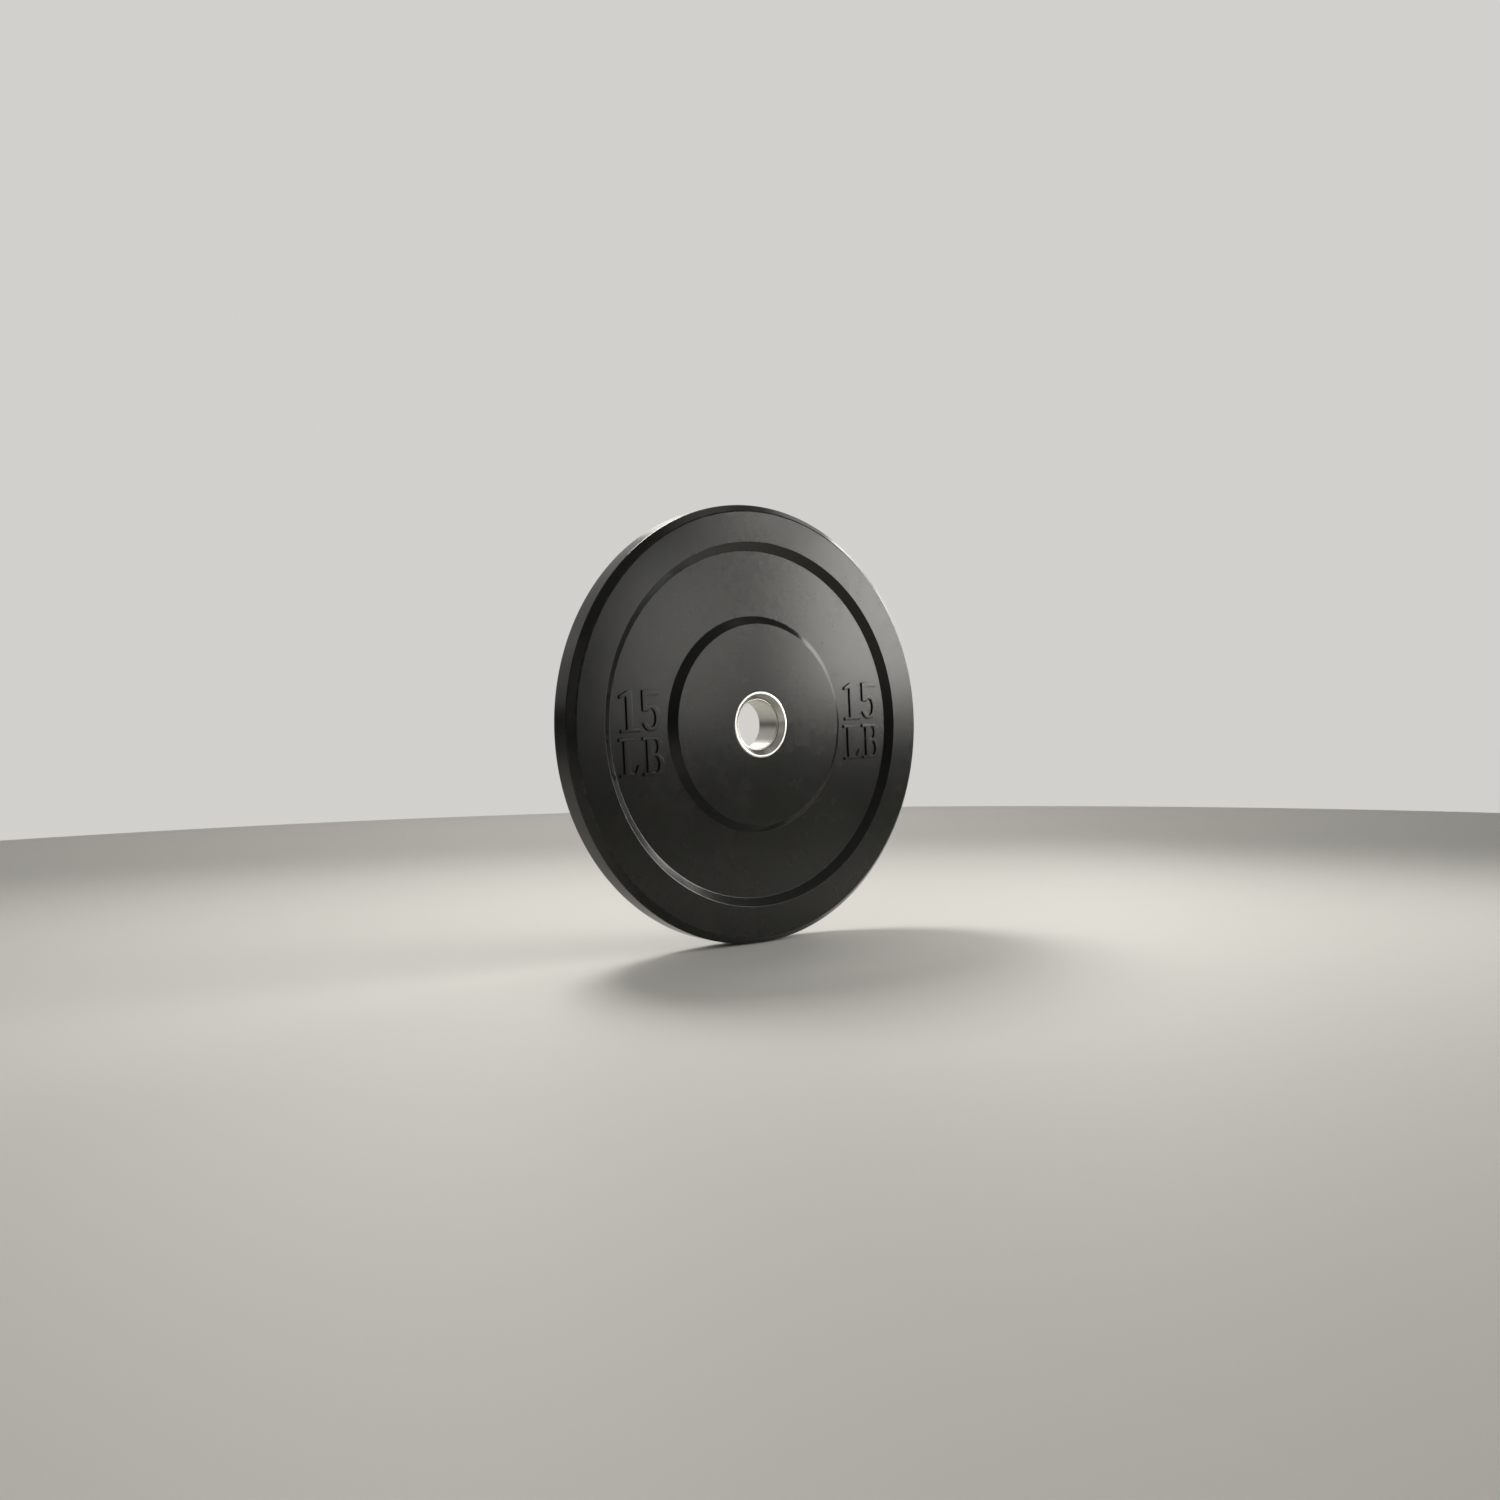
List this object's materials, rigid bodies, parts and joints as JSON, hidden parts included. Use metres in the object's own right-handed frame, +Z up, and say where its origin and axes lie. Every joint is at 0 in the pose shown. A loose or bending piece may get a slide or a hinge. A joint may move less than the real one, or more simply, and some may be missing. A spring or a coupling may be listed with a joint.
{
  "type": "bumper plate",
  "caption": "Round rubber bumper plate with bevelled rims, sunken webs and a flared steel hub, for a 50 mm barbell sleeve.",
  "frame": {"origin": "centre of the bore, at mid-thickness", "axes": "+Y along the bore axis, away from the shown face; +Z up with the plate standing on its tread; +X to the right seen from the shown face"},
  "size_m": [0.45, 0.036, 0.45],
  "materials": {
    "rubber": "satin moulded black rubber",
    "polished_steel": "polished turned steel",
    "brushed_steel": "brushed along the turning",
    "plain_steel": "dull cut plate"
  },
  "bodies": {
    "root": {"rubber_disc": "rubber", "steel_hub": "polished_steel", "bore_liner": "brushed_steel", "anchor_plate": "plain_steel"}
  },
  "joints": []
}
